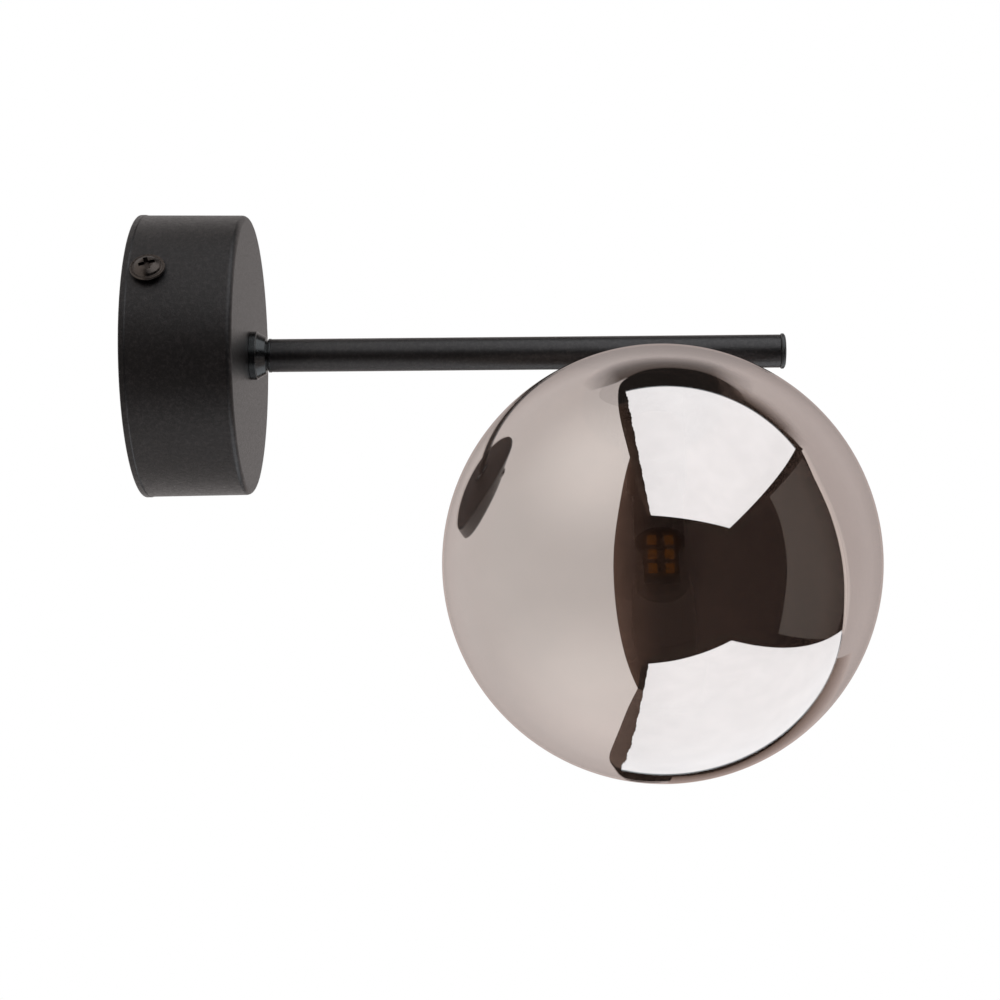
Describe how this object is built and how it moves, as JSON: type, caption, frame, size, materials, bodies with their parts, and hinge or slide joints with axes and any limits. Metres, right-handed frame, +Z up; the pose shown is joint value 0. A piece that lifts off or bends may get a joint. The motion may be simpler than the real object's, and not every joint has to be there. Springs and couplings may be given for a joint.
{
  "type": "globe wall sconce",
  "caption": "Wall sconce with a drum canopy, a straight tube arm and a smoked glass globe that hangs under it by a twist-lock cap over a pin-base bulb.",
  "frame": {"origin": "centre of the canopy's back face on the wall, which is the middle of the bracket's two wall slots", "axes": "+X out of the wall along the arm, +Z up, Y sideways"},
  "size_m": [0.2506, 0.1428, 0.2153],
  "materials": {
    "powder_black": "fine-grained matte powder coat",
    "satin_black": "smooth satin black paint",
    "plug_black": "satin moulded plastic",
    "zinc_steel": "bright zinc plate",
    "screw_bronze": "black nickel plate",
    "smoked_glass": "smoked mirror glass",
    "silicone": "matte silicone",
    "ceramic": "unglazed steatite",
    "contact_bronze": "spring bronze",
    "brass": "turned brass",
    "bulb_white": "moulded white plastic",
    "bulb_clear": "clear moulded cover",
    "board_white": "white solder mask",
    "led_yellow": "phosphor resin",
    "driver_green": "green circuit board",
    "block_white": "translucent nylon",
    "lead_brown": "silicone lead",
    "lead_blue": "silicone lead",
    "lead_green": "green and yellow lead",
    "bush_white": "moulded nylon"
  },
  "bodies": {
    "fixture": {"canopy": "powder_black", "mounting_bracket": "zinc_steel", "threaded_nipple": "zinc_steel", "nipple_nut": "zinc_steel", "nipple_washer": "zinc_steel", "nipple_bush": "bush_white", "collar": "satin_black", "spacer_ring": "satin_black", "arm_tube": "powder_black", "end_plug": "plug_black", "hanger": "powder_black", "globe_cap": "powder_black", "cap_washer": "zinc_steel", "cap_nut": "zinc_steel", "holder_strap": "zinc_steel", "lampholder": "ceramic", "holder_contacts": "contact_bronze", "holder_screws": "zinc_steel", "terminal_block": "block_white", "terminal_sleeves": "brass", "terminal_screws": "zinc_steel", "block_screw": "zinc_steel", "earth_screw": "zinc_steel", "earth_tag": "brass", "live_lead": "lead_brown", "neutral_lead": "lead_blue", "earth_lead": "lead_green"},
    "globe": {"glass_globe": "smoked_glass", "globe_ring": "satin_black", "globe_gasket": "silicone"},
    "bulb": {"bulb_base": "bulb_white", "bulb_pins": "zinc_steel", "bulb_cover": "bulb_clear", "bulb_board": "board_white", "bulb_chips": "led_yellow", "bulb_driver": "driver_green"},
    "left_screw": {"canopy_screw_left": "screw_bronze"},
    "right_screw": {"canopy_screw_right": "screw_bronze"}
  },
  "joints": [
    {"name": "globe_twist", "type": "hinge", "parent": "fixture", "child": "globe", "pos_m": [0.1792, 0, -0.0938], "axis": [0, 0, 1], "range_deg": [0, 25]},
    {"name": "bulb_pull", "type": "slide", "parent": "fixture", "child": "bulb", "axis": [0, 0, -1], "range_m": [0, 0.013]},
    {"name": "left_screw_out", "type": "slide", "parent": "fixture", "child": "left_screw", "axis": [0, -1, 0], "range_m": [0, 0.007]},
    {"name": "right_screw_out", "type": "slide", "parent": "fixture", "child": "right_screw", "axis": [0, 1, 0], "range_m": [0, 0.007]}
  ]
}
